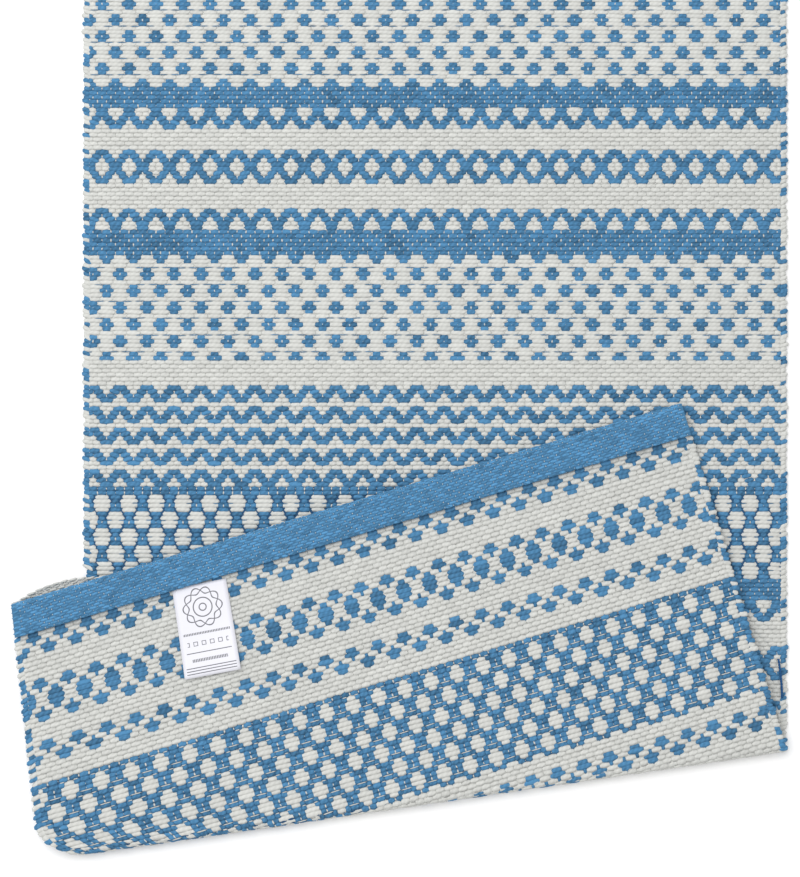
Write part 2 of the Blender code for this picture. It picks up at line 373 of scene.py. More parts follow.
def layFloats(lens, middles, halves, lean, roll, tones):
    # copies the lens to each place: leans it in the cloth's plane, rolls it about X, and moves it
    shape, _ = lens
    local = shape[None, :, :] * halves[:, None, :]
    x, y, z = local[..., 0], local[..., 1], local[..., 2]
    cosLean, sinLean = np.cos(lean)[:, None], np.sin(lean)[:, None]
    x, y = x * cosLean - y * sinLean, x * sinLean + y * cosLean
    cosRoll, sinRoll = np.cos(roll)[:, None], np.sin(roll)[:, None]
    y, z = y * cosRoll - z * sinRoll, y * sinRoll + z * cosRoll
    points = np.stack((x, y, z), axis=-1) + middles[:, None, :]
    spin = np.arctan2(shape[:, 2], shape[:, 1]) / (2 * math.pi)
    lengthwise = shape[None, :, 0] * halves[:, 0:1] / strandMap["length"]
    lengthwise = lengthwise + tones[:, None] * strandMap["toneShift"]
    yarnMap = np.stack((lengthwise, np.broadcast_to(spin, lengthwise.shape)), axis=-1)
    spread = np.repeat(tones, len(shape))
    return points.reshape(-1, 3), spread, yarnMap.reshape(-1, 2)


def joinFloats(name, groups, materials):
    # one piece out of many floats; each group has its lens, points, tones, yarn map and material number
    allPoints, allCorners, allSizes, allTones, allMaps, allIndex = [], [], [], [], [], []
    base = 0
    for lens, points, tones, yarnMap, number in groups:
        count = len(points) // len(lens[0])
        if not count:
            continue
        corners = np.concatenate([np.array(face) for face in lens[1]])
        sizes = np.array([len(face) for face in lens[1]])
        shifts = base + np.arange(count)[:, None] * len(lens[0])
        allCorners.append((corners[None, :] + shifts).ravel())
        allSizes.append(np.tile(sizes, count))
        allIndex.append(np.full(count * len(sizes), number))
        allPoints.append(points)
        allTones.append(tones)
        allMaps.append(yarnMap)
        base += len(points)
    if not allPoints:
        return None
    flat = np.concatenate(allPoints)
    low, high = flat.min(0), flat.max(0)
    share = (flat[:, :2] - low[:2]) / np.maximum(high - low, 1e-6)[:2]
    back = flat[:, 2] < thickness / 2
    flatMap = np.stack((share[:, 0], share[:, 1] * 0.49 + np.where(back, 0.5, 0.0)), axis=-1)
    return meshFrom(name, place(flat), np.concatenate(allCorners), np.concatenate(allSizes),
                    np.concatenate(allTones), np.concatenate(allMaps), flatMap, materials,
                    np.concatenate(allIndex))


def addNode(tree, kind, settings=(), inputs=()):
    node = tree.nodes.new(kind)
    for name, value in dict(settings).items():
        setattr(node, name, value)
    for name, value in dict(inputs).items():
        if isinstance(value, bpy.types.NodeSocket):
            tree.links.new(value, node.inputs[name])
        else:
            node.inputs[name].default_value = value
    return node


def addMath(tree, operation, first, second=0.0):
    return addNode(tree, "ShaderNodeMath", {"operation": operation}, {0: first, 1: second}).outputs[0]


cotton = {
    "twist": 2.2,            # turns of a strand to one unit of the yarn's map
    "fibreStretch": (2.4, 11.0, 1.0), "fibreDetail": 3.0, "fibreRoughness": 0.7,
    "patchScale": 38.0, "patchDetail": 2.0, "patchiness": 0.15,
    "lightness": 0.62,       # how near the colour is to Colour rather than Shade, on the whole
    # the grooves between the strands are darkened in the colour: painted shade
    "paintedGrooveShade": 0.3, "strandHeight": 0.6, "fibreHeight": 0.8,
    "bumpStrength": 0.35, "bumpDistance": 0.0005, "specular": 0.25,
}


def buildYarnGroup():
    # plied cotton: strands twisted round the yarn with painted shade in the grooves between them, flecks of
    # fibre, and a tone of its own for each float
    group = bpy.data.node_groups.new("pliedCotton", "ShaderNodeTree")
    for name, kind in (("Colour", "NodeSocketColor"), ("Shade", "NodeSocketColor"),
                       ("Strands", "NodeSocketFloat"), ("Flecks", "NodeSocketFloat"),
                       ("Unevenness", "NodeSocketFloat")):
        group.interface.new_socket(name=name, in_out="INPUT", socket_type=kind)
    group.interface.new_socket(name="Colour", in_out="OUTPUT", socket_type="NodeSocketColor")
    group.interface.new_socket(name="Height", in_out="OUTPUT", socket_type="NodeSocketFloat")
    given = group.nodes.new("NodeGroupInput").outputs
    yarnMap = addNode(group, "ShaderNodeUVMap", {"uv_map": "yarnMap"})
    parts = addNode(group, "ShaderNodeSeparateXYZ", inputs={0: yarnMap.outputs[0]})
    twist = addMath(group, "ADD", addMath(group, "MULTIPLY", parts.outputs[0], cotton["twist"]),
                    addMath(group, "MULTIPLY", parts.outputs[1], given["Strands"]))
    strand = addMath(group, "SINE", addMath(group, "MULTIPLY", twist, 2 * math.pi))
    strand = addMath(group, "ADD", addMath(group, "MULTIPLY", strand, 0.5), 0.5)
    spots = addNode(group, "ShaderNodeTexCoord")
    stretch = addNode(group, "ShaderNodeVectorMath", {"operation": "MULTIPLY"},
                      {0: yarnMap.outputs[0], 1: cotton["fibreStretch"]})
    fibre = addNode(group, "ShaderNodeTexNoise", inputs={
        "Vector": stretch.outputs[0], "Scale": 1.0, "Detail": cotton["fibreDetail"],
        "Roughness": cotton["fibreRoughness"]})
    patch = addNode(group, "ShaderNodeTexNoise", inputs={
        "Vector": spots.outputs["Object"], "Scale": cotton["patchScale"], "Detail": cotton["patchDetail"]})
    tone = addNode(group, "ShaderNodeAttribute", {"attribute_name": "tone"})

    def vary(value, amount):
        return addMath(group, "MULTIPLY", addMath(group, "SUBTRACT", value, 0.5), amount)

    ownTone = vary(tone.outputs["Fac"], given["Unevenness"])
    fleck = vary(fibre.outputs["Fac"], given["Flecks"])
    slow = vary(patch.outputs["Fac"], cotton["patchiness"])
    share = addMath(group, "ADD", addMath(group, "ADD", ownTone, fleck),
                    addMath(group, "ADD", slow, cotton["lightness"]))
    # painted shade: the colour darkens in the grooves between the twisted strands
    share = addMath(group, "ADD", share, vary(strand, cotton["paintedGrooveShade"]))
    clamp = addNode(group, "ShaderNodeClamp", inputs={0: share})
    mixed = addNode(group, "ShaderNodeMix", {"data_type": "RGBA"},
                    {0: clamp.outputs[0], 6: given["Shade"], 7: given["Colour"]})
    out = group.nodes.new("NodeGroupOutput")
    group.links.new(mixed.outputs[2], out.inputs["Colour"])
    height = addMath(group, "ADD", addMath(group, "MULTIPLY", strand, cotton["strandHeight"]),
                     addMath(group, "MULTIPLY", fibre.outputs["Fac"], cotton["fibreHeight"]))
    group.links.new(height, out.inputs["Height"])
    return group


yarnGroup = buildYarnGroup()


def cottonMaterial(name, colour, shade, flecks=0.5, unevenness=0.5, roughness=0.9, strands=2.0):
    material = bpy.data.materials.new(name)
    material.use_nodes = True
    tree = material.node_tree
    shader = tree.nodes["Principled BSDF"]
    shader.inputs["Roughness"].default_value = roughness
    shader.inputs["Specular IOR Level"].default_value = cotton["specular"]
    yarn = tree.nodes.new("ShaderNodeGroup")
    yarn.node_tree = yarnGroup
    yarn.inputs["Colour"].default_value = colour
    yarn.inputs["Shade"].default_value = shade
    yarn.inputs["Strands"].default_value = strands
    yarn.inputs["Flecks"].default_value = flecks
    yarn.inputs["Unevenness"].default_value = unevenness
    tree.links.new(yarn.outputs["Colour"], shader.inputs["Base Color"])
    bump = addNode(tree, "ShaderNodeBump", inputs={
        "Strength": cotton["bumpStrength"], "Distance": cotton["bumpDistance"],
        "Height": yarn.outputs["Height"]})
    tree.links.new(bump.outputs[0], shader.inputs["Normal"])
    return material


whiteYarn = cottonMaterial("whiteCotton", linear("white", 1.04), linear("white", 0.78), flecks=0.55)
blueYarn = cottonMaterial("blueCotton", linear("blue", 1.28), linear("blue", 0.5), flecks=1.1, unevenness=0.75)
hemYarn = cottonMaterial("hemBlueCotton", linear("hemBlue", 1.22), linear("hemBlue", 0.5), flecks=1.1,
                         unevenness=0.9)
carriedYarn = cottonMaterial("carriedBlueCotton", linear("deepBlue", 1.1), linear("deepBlue", 0.5))
groundWhite = cottonMaterial("whiteGround", linear("white", 0.98), linear("white", 0.80))
groundBlue = cottonMaterial("blueGround", linear("blue", 0.55), linear("deepBlue", 0.45))
seamThread = cottonMaterial("hemThread", linear("hemBlue", 0.95), linear("blue", 0.6), roughness=0.6)

fullLens = modelLens(5, 4, 0.45)
pointedLens = modelLens(5, 4, 0.95)
plainLens = modelLens(4, 3, 0.4)
smallLens = modelLens(4, 3, 0.8)
halfTurn = -turnLength / 2
# where a piece that bends passes from one body to the next
farReach = Vector((0, cloth["farReach"], 0))
turnMiddle = foldOrigin - toMain * (outerRadius - thickness) + Vector((0, 0, outerRadius))
crossings = {
    "far": ("main_length", "far_end", farCrease - farReach, farCrease + farReach),
    "lower": ("main_length", "fold_turn", foldOrigin + Vector((0, 0, thickness)), turnMiddle),
    "upper": ("fold_turn", "flap", turnMiddle, foldOrigin + Vector((0, 0, 2 * outerRadius - thickness))),
}
beadRows = []


def follow(piece, way):
    if way in crossings:
        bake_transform(piece)
    else:
        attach(piece, way)


def makeGround(name, low, high, material, keep):
    # the ground cloth under the floats: a thin slab, cut along the fold and bent round the turn
    bpy.ops.object.select_all(action="DESELECT")
    bpy.ops.mesh.primitive_cube_add(size=1, location=(0, (low + high) / 2, thickness / 2))
    slab = bpy.context.active_object
    slab.scale = (2 * (halfWidth - cloth["inset"]), high - low, thickness - 2 * cloth["skin"])
    bpy.ops.object.transform_apply(location=True, rotation=False, scale=True)
    if keep:
        bpy.ops.object.mode_set(mode="EDIT")
        for step in range(cloth["turnCuts"] + 1):
            bpy.ops.mesh.select_all(action="SELECT")
            spot = foldOrigin - toMain * (turnLength * step / cloth["turnCuts"])
            bpy.ops.mesh.bisect(plane_co=spot, plane_no=toMain)
        bpy.ops.mesh.select_all(action="SELECT")
        cutAway = -toMain if keep == "main" else toMain
        bpy.ops.mesh.bisect(plane_co=foldOrigin + toMain * halfTurn, plane_no=cutAway, use_fill=True,
                            clear_outer=True)
        bpy.ops.object.mode_set(mode="OBJECT")
    slab.name = name
    slab.data.materials.append(material)
    spots = np.array([vertex.co for vertex in slab.data.vertices])
    faceArea = sum(face.area for face in slab.data.polygons if face.normal.z > 0.9)
    cut = (spots[:, 0].max() - spots[:, 0].min(), spots[:, 1].max() - spots[:, 1].min())
    slab.data.vertices.foreach_set("co", place(spots).astype(np.float32).ravel())
    slab.data.update()
    slab.data.attributes.new("tone", "FLOAT", "POINT")
    return slab, cut, faceArea


uneven = {
    "drift": 0.00013,        # how far a float strays from the middle of its row
    "overrun": 0.0002, "overrunSpread": 0.0001,
    "width": 0.05,           # how much the floats' widths vary
    "fatWidth": 0.16, "fatRelief": 0.0001,
    "sink": 0.0002,          # how far a plain float may sink
    "raise": 0.0002,         # how far dots and white threads stand above the floats
    "climb": 0.30, "lean": 0.02,
    "tone": (0.5, 0.22),
}
dot = {"sizes": [0.45, 0.9, 1.1, 1.3], "length": 0.00062, "width": 0.34, "height": 0.0007, "lean": 0.15}
threadRadius = {"t": 0.00035, "h": 0.0005}


def drawTones(count):
    return np.clip(chance.normal(*uneven["tone"], count), 0, 1)


def gatherFace(floats, kind, face, lenses, keep):
    # the floats of one yarn on one face, laid and sorted by lens
    rows = np.array(floats[kind], float) if floats[kind] else np.zeros((0, 7))
    count = len(rows)
    x, y, half, pitch, climb, fat, pointed = rows.T
    middles = np.stack((x, y, np.zeros(count)), axis=-1)
    middles[:, 1] += chance.normal(0, uneven["drift"], count)
    halves = np.zeros((count, 3))
    halves[:, 0] = half + chance.normal(uneven["overrun"], uneven["overrunSpread"], count)
    widths = cloth["floatWidth"] + uneven["fatWidth"] * fat
    halves[:, 1] = pitch * widths * chance.normal(1, uneven["width"], count)
    halves[:, 2] = cloth["relief"] + uneven["fatRelief"] * fat
    if kind == "d":
        size = chance.choice(dot["sizes"], count)
        halves[:, 0] = dot["length"] * size
        halves[:, 1] = pitch * dot["width"] * size
        halves[:, 2] = dot["height"]
    elif kind in "th":
        halves[:, 1:] = threadRadius[kind]
    proud = thickness - halves[:, 2] - chance.uniform(0, uneven["sink"], count) * (kind in "wb")
    if kind in "dh":
        proud += uneven["raise"]
    middles[:, 2] = proud if face > 0 else thickness - proud
    lean = climb * uneven["climb"] + chance.normal(0, dot["lean"] if kind == "d" else uneven["lean"], count)
    roll = np.full(count, 0.0 if face > 0 else math.pi)
    tones = drawTones(count)
    wanted = np.ones(count, bool)
    if keep:
        across = acrossFold(middles)
        wanted = across > halfTurn if keep == "main" else across <= halfTurn
    groups = []
    for lens, chosen in ((lenses[0], pointed < 0.5), (lenses[1], pointed > 0.5)):
        chosen = chosen & wanted
        if chosen.any():
            given = [a[chosen] for a in (middles, halves, lean, roll, tones)]
            groups.append((lens, *layFloats(lens, *given), 0))
    return groups


def makeSection(name, kind, low, high, side, way, keep=None, fine=(True, False)):
    # low and high are measured from the middle of the cloth towards the end that side gives
    faceRows, backRows, under = weaving[kind]
    lowY, highY = (low, high) if side > 0 else (-high, -low)
    groundMaterial = groundWhite if under == "white" else groundBlue
    ground, cut, flatArea = makeGround(name + "_ground", lowY, highY, groundMaterial, keep)
    faces = {}
    for face, rows in ((1, faceRows), (-1, backRows)):
        faces[face], beads = weaveFace(rows, low, high, side, patternShift.get(kind, 0))
        if face > 0 and keep != "flap":
            beadRows.extend(beads)
    pieces = []
    for colour, ending, material, slotName, extras in (("w", "_white_yarn", whiteYarn, "white_weft", "dh"),
                                                       ("b", "_blue_yarn", blueYarn, "blue_weft", "t")):
        groups = []
        for face, isFine in ((1, fine[0]), (-1, fine[1])):
            lenses = (fullLens, pointedLens) if isFine else (plainLens, plainLens)
            groups += gatherFace(faces[face], colour, face, lenses, keep)
            for extra in extras:
                groups += gatherFace(faces[face], extra, face, (smallLens, smallLens), keep)
        piece = joinFloats(name + ending, groups, [material])
        if piece:
            pieces.append(piece)
    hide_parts(name)
    for piece in [ground] + pieces:
        follow(piece, way)
    return ground


print("weaving the main length")
ends = {}
for kind in ("chain_border", "spots_section", "ripple_section", "ovals_section", "stripe_border",
             "houndstooth_band", "end_border"):
    lowCorner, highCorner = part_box("far_" + kind)
    ends[kind] = (lowCorner.y - cloth["touch"] / 2, highCorner.y + cloth["touch"] / 2)
centreHalf = ends["chain_border"][0]
makeSection("centre_spots_section", "centre_spots_section", -centreHalf, centreHalf, 1, "main_length")
for kind in ("chain_border", "spots_section", "ripple_section", "ovals_section"):
    makeSection("near_" + kind, kind, *ends[kind], -1, "main_length")
makeSection("far_chain_border", "chain_border", *ends["chain_border"], 1, "main_length")
makeSection("far_spots_section", "spots_section", *ends["spots_section"], 1, "main_length")
makeSection("far_ripple_section", "ripple_section", *ends["ripple_section"], 1, "far")
makeSection("far_ovals_section", "ovals_section", *ends["ovals_section"], 1, "far")
print("weaving the far end")
for kind in ("stripe_border", "houndstooth_band", "end_border"):
    makeSection("far_" + kind, kind, *ends[kind], 1, "far_end", None, (False, False))
print("weaving round the fold and over the flap")
turnCloth = makeSection("near_stripe_border", "stripe_border", *ends["stripe_border"], -1, "lower", "main")
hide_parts("fold_turn")
makeSection("near_houndstooth_band", "houndstooth_band", *ends["houndstooth_band"], -1, "lower", "main")
makeSection("flap_stripe_border", "stripe_border", *ends["stripe_border"], -1, "upper", "flap", (True, True))
makeSection("flap_houndstooth_band", "houndstooth_band", *ends["houndstooth_band"], -1, "upper", "flap",
            (True, True))
makeSection("flap_end_border", "end_border", *ends["end_border"], -1, "flap", None, (True, True))


print("turning the selvedges")
selvedge = {
    "reach": 0.0040,         # half a loop's length across the cloth
    "stagger": 0.25,         # every other loop is this much longer
    "width": 0.66,           # half a loop's width, as a share of the row pitch
    "high": 0.0023, "inset": 0.0032, "lean": 0.36,
    "swapped": 0.3,          # the share of loops that show the other colour
    "sizeSpread": 0.08, "leanSpread": 0.35, "strayAcross": 0.00035, "strayAlong": 0.0002,
    "beforeFar": 0.002,
}
meetFar = farCrease.y - cloth["farReach"] - selvedge["beforeFar"]
beadLens = modelLens(8, 5, 0.6)


def makeSelvedge(name, hand, test, way, replaced):
    # where each row of weft turns round the edge warps: a row of small slanted loops
    side = -1 if hand == "left" else 1
    rows = [(y, pitch, kinds[0 if side < 0 else 1], row) for y, pitch, kinds, row in beadRows]
    spots = np.array([(side * (halfWidth - selvedge["inset"]), y, thickness / 2) for y, *_ in rows])
    chosen = test(spots)
    swapped = chance.random(len(rows)) < selvedge["swapped"]
    spread = selvedge["sizeSpread"]
    groups = []
    for number, kind in enumerate(("w", "b")):
        picked = [i for i in range(len(rows)) if chosen[i] and (rows[i][2] == kind) != swapped[i]]
        if not picked:
            continue
        count = len(picked)
        middles = spots[picked].copy()
        middles[:, 0] += side * chance.normal(0, selvedge["strayAcross"], count)
        middles[:, 1] += chance.normal(0, selvedge["strayAlong"], count)
        pitch = np.array([rows[i][1] for i in picked])
        odd = np.array([rows[i][3] % 2 for i in picked])
        reach = selvedge["reach"] * (1 + selvedge["stagger"] * odd) * chance.normal(1, spread, count)
        width = pitch * selvedge["width"] * chance.normal(1, spread, count)
        halves = np.stack((reach, width, np.full(count, selvedge["high"])), axis=-1)
        lean = side * selvedge["lean"] * chance.normal(1, selvedge["leanSpread"], count)
        tones = drawTones(count)
        groups.append((beadLens, *layFloats(beadLens, middles, halves, lean, np.zeros(count), tones), number))
    piece = joinFloats(name, groups, [whiteYarn, blueYarn])
    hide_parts(replaced)
    follow(piece, way)


for hand in ("left", "right"):
    makeSelvedge(hand + "_turned_selvedge", hand,
                 lambda p: (p[:, 1] <= meetFar) & (acrossFold(p) > halfTurn), "lower", hand + "_selvedge")
    makeSelvedge("far_" + hand + "_turned_selvedge", hand, lambda p: p[:, 1] > meetFar, "far",
                 "far_" + hand + "_selvedge")
    makeSelvedge("flap_" + hand + "_turned_selvedge", hand, lambda p: acrossFold(p) <= halfTurn, "upper",
                 "flap_" + hand + "_selvedge")


print("turning the hems")
hem = {
    "rowPitch": 0.0022, "rise": 0.0011, "round": 0.0042, "roundCuts": 5,
    "edge": 0.0015,          # floats stop this far short of the cloth's edges
    "floatLength": 1.02,     # half a float's length, in warp ends
    "floatWidth": 0.00145, "sizeSpread": 0.05, "stray": 0.00008, "lean": 0.03,
    "blueShare": 0.62,       # how far round the outer edge the blue rows go
    "slip": 0.007,           # the white layer behind shows this far past the blue one,
    "slipWidth": 0.085,      # from this far in from the left edge
    "dotSizes": [0.45, 0.7, 0.9, 1.1], "dot": (0.0004, 0.0007, 0.00125), "dotEdge": 0.002,
    "stitch": 0.0019, "stitchEvery": 0.0062, "stitchRadii": (0.00042, 0.0004), "stitchLean": (0.25, 0.12),
    "stitchEdge": 0.008, "stitchInset": 0.0012,
}


def makeHemCore(name, side, lift, length):
    # the folded cloth beneath the rows: a slab two layers thick with a round outer edge
    skin = cloth["skin"]
    bpy.ops.object.select_all(action="DESELECT")
    bpy.ops.mesh.primitive_cube_add(size=1)
    core = bpy.context.active_object
    core.scale = (2 * halfWidth - 2 * skin, length - skin, 2 * thickness - 2 * skin)
    core.location = (0, side * (hemStart + (length - skin) / 2), lift)
    bpy.ops.object.transform_apply(location=True, rotation=False, scale=True)
    corners = [vertex.co.copy() for vertex in core.data.vertices]
    outer = []
    for edge in core.data.edges:
        first, last = (corners[index] for index in edge.vertices)
        atEnd = all(abs(abs(corner.y) - (halfLength - skin)) < 1e-5 for corner in (first, last))
        if atEnd and abs(first.x - last.x) > halfWidth:
            outer.append(edge.index)
    weight = core.data.attributes.new("bevel_weight_edge", "FLOAT", "EDGE")
    for index in outer:
        weight.data[index].value = 1
    bevel = core.modifiers.new("roundEdge", "BEVEL")
    bevel.limit_method = "WEIGHT"
    bevel.width = hem["round"] - skin
    bevel.segments = hem["roundCuts"]
    bpy.ops.object.modifier_apply(modifier="roundEdge")
    core.name = name + "_ground"
    core.data.materials.append(hemYarn)
    spots = np.array([vertex.co for vertex in core.data.vertices])
    core.data.vertices.foreach_set("co", place(spots).astype(np.float32).ravel())
    core.data.update()
    return core


def chartHem(side, lift, length):
    # where each float and dot of the hem lies, as (x, y, z, roll), from the inner edge round to the other face
    straight = length - hem["round"]
    arc = math.pi * hem["round"] + 2 * (thickness - hem["round"])
    total = 2 * straight + arc
    rise = hem["rise"]
    rows = int(total / hem["rowPitch"])
    blueRows, whiteRows, dots = [], [], []
    for row in range(rows):
        run = (row + 0.5) * total / rows
        if run < straight:
            outward, height, angle = run, -thickness, -math.pi / 2
        elif run > total - straight:
            outward, height, angle = total - run, thickness, math.pi / 2
        else:
            angle = math.pi * ((run - straight) / arc - 0.5)
            outward = straight + hem["round"] * math.cos(angle)
            height = thickness * math.sin(angle)
        y = side * (hemStart + outward - rise * max(0.0, math.cos(angle)))
        z = lift + height - rise * math.sin(angle)
        roll = math.atan2(-side * math.cos(angle), math.sin(angle))
        for i in range(cloth["ends"] // 2 + 1):
            x = (2 * i + row % 2 - cloth["ends"] / 2) * endPitch
            if abs(x) > halfWidth - hem["edge"]:
                continue
            if run < straight + arc * hem["blueShare"]:
                blueRows.append((x, y, z, roll))
                dots.append((x + endPitch, y, z, roll))
            else:
                slip = hem["slip"] * math.sin(math.pi * min(1, (x + halfWidth) / hem["slipWidth"]))
                whiteRows.append((x, y - slip if side < 0 else y, z, roll))
    return blueRows, whiteRows, dots


def makeHem(name, side, lift, way):
    # the last rows are turned under and sewn down
    length = halfLength - hemStart
    core = makeHemCore(name, side, lift, length)
    blueRows, whiteRows, dots = chartHem(side, lift, length)
    groups = []
    for places, lens, number, isDot in ((blueRows, plainLens, 0, False), (whiteRows, plainLens, 1, False),
                                        (dots, smallLens, 1, True)):
        places = np.array(places)
        count = len(places)
        middles = places[:, :3] + chance.normal(0, hem["stray"], (count, 3))
        if isDot:
            halves = np.outer(chance.choice(hem["dotSizes"], count), hem["dot"])
            middles = middles[np.abs(middles[:, 0]) < halfWidth - hem["dotEdge"]]
            count = len(middles)
        else:
            halves = np.outer(chance.normal(1, hem["sizeSpread"], count),
                              (endPitch * hem["floatLength"], hem["floatWidth"], hem["rise"]))
        tones = drawTones(count)
        lean = chance.normal(0, hem["lean"], count)
        groups.append((lens, *layFloats(lens, middles, halves[:count], lean, places[:count, 3], tones), number))
    yarn = joinFloats(name + "_yarn", groups, [hemYarn, whiteYarn])
    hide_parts(name)
    for piece in (core, yarn):
        follow(piece, way)

    # the sewing thread along the hem's inner edge, on the side that faces up
    count = int(2 * (halfWidth - hem["stitchEdge"]) / hem["stitchEvery"])
    x = (np.arange(count) - (count - 1) / 2) * hem["stitchEvery"]
    seamY = side * (hemStart + hem["stitchInset"])
    seamZ = lift - thickness if side < 0 else lift + thickness
    middles = np.stack((x, np.full(count, seamY), np.full(count, seamZ)), axis=-1)
    halves = np.tile((hem["stitch"], *hem["stitchRadii"]), (count, 1))
    lean = chance.normal(*hem["stitchLean"], count)
    tones = chance.uniform(0, 1, count)
    points = layFloats(plainLens, middles, halves, lean, np.zeros(count), tones)
    seam = joinFloats(name + "_stitches", [(plainLens, *points, 0)], [seamThread])
    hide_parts(name + "_seam")
    follow(seam, way)


makeHem("near_hem", -1, 0.0, "flap")
makeHem("far_hem", 1, thickness, "far_end")


print("sewing on the label")
label = {
    "width": 0.047, "length": 0.078, "thickness": 0.0004,
    "fromEdge": 0.138, "lean": math.radians(6), "lift": 0.0007, "tuck": 0.0006,
    "curl": 0.0030, "curlPower": 2.2, "curlEven": 0.35, "curlCorners": 2.4, "curlMiddle": 0.12,
    "wave": 0.00035, "wavesDown": 9, "wavesAcross": 2,
    "columns": 12, "rows": 26,
    "bend": 0.009,           # a point this far below its sewn edge is worked out
}
# what is printed on it, in millimetres from its middle and its sewn edge
labelPrint = {
    "rosetteAt": 20.0, "petals": 5.0, "petalDepth": 2.6, "petalRadius": 14.2, "petalLine": 0.55,
    "rings": (8.0, 3.0), "ringLine": 0.5,
    "rules": ((41.5, 1.0, 20), (57.5, 0.4, 19), (64.0, 1.3, 15), (70.0, 0.4, 21), (72.4, 0.4, 21),
              (74.8, 0.4, 21)),
    "brokenFrom": 0.5, "breaks": 4.6, "breakWidth": -0.45,
    "squaresAt": 50.0, "squareEvery": 3.5, "squareStart": 14.0, "squareOuter": 1.9, "squareInner": 1.3,
    "squaresReach": 17.5, "strength": 0.85,
}
satin = {"roughness": 0.42, "weaveScale": 90.0, "bumpStrength": 0.12, "bumpDistance": 0.0002}


def makeLabel():
    # a satin ribbon sewn in by its top edge, its lower corners curling up a little
    bpy.ops.object.select_all(action="DESELECT")
    bpy.ops.mesh.primitive_grid_add(x_subdivisions=label["columns"], y_subdivisions=label["rows"], size=1)
    ribbon = bpy.context.active_object
    ribbon.name = "satin_label"
    spots = np.array([vertex.co for vertex in ribbon.data.vertices])
    down = 0.5 - spots[:, 1]
    beside = spots[:, 0]
    for mapName in ("labelMap", "OFBake"):
        layer = ribbon.data.uv_layers.get(mapName) or ribbon.data.uv_layers.new(name=mapName)
        for loop in ribbon.data.loops:
            layer.uv[loop.index].vector = (beside[loop.vertex_index] + 0.5, down[loop.vertex_index])
    ribbon.data.uv_layers.remove(ribbon.data.uv_layers[0])
    x = beside * label["width"]
    y = down * label["length"]
    corners = label["curlEven"] + label["curlCorners"] * (beside + label["curlMiddle"]) ** 2
    raised = label["curl"] * down ** label["curlPower"] * corners
    raised += label["wave"] * np.sin(down * label["wavesDown"] + beside * label["wavesAcross"]) * down
    turned = label["lean"]
    flat = np.stack((x * math.cos(turned) - y * math.sin(turned), x * math.sin(turned) + y * math.cos(turned),
                     -label["lift"] - np.maximum(raised, 0)), axis=-1)
    sewnX = -halfWidth + label["fromEdge"] + label["width"] / 2
    sewnY = -hemStart + label["tuck"]
    flat[:, 0] += sewnX
    flat[:, 1] += sewnY
    ribbon.data.vertices.foreach_set("co", place(flat).astype(np.float32).ravel())
    ribbon.data.update()
    solid = ribbon.modifiers.new("thickness", "SOLIDIFY")
    solid.thickness = label["thickness"]
    solid.offset = 0
    bpy.ops.object.modifier_apply(modifier="thickness")
    bpy.ops.object.mode_set(mode="EDIT")
    bpy.ops.mesh.select_all(action="SELECT")
    bpy.ops.mesh.normals_make_consistent(inside=False)
    bpy.ops.object.mode_set(mode="OBJECT")
    ribbon.data.shade_smooth()
    ribbon.data.materials.append(satinMaterial())
    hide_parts("care_label")
    # its sewn edge lies on the flap; the place there and a point just below it are worked out, but nothing uses
    # them
    hinge = np.array([[sewnX, sewnY, -label["lift"]]])
    below = hinge + label["bend"] * np.array([[-math.sin(turned), math.cos(turned), 0]])
    Vector(place(hinge)[0])
    Vector(place(below)[0])
    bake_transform(ribbon)


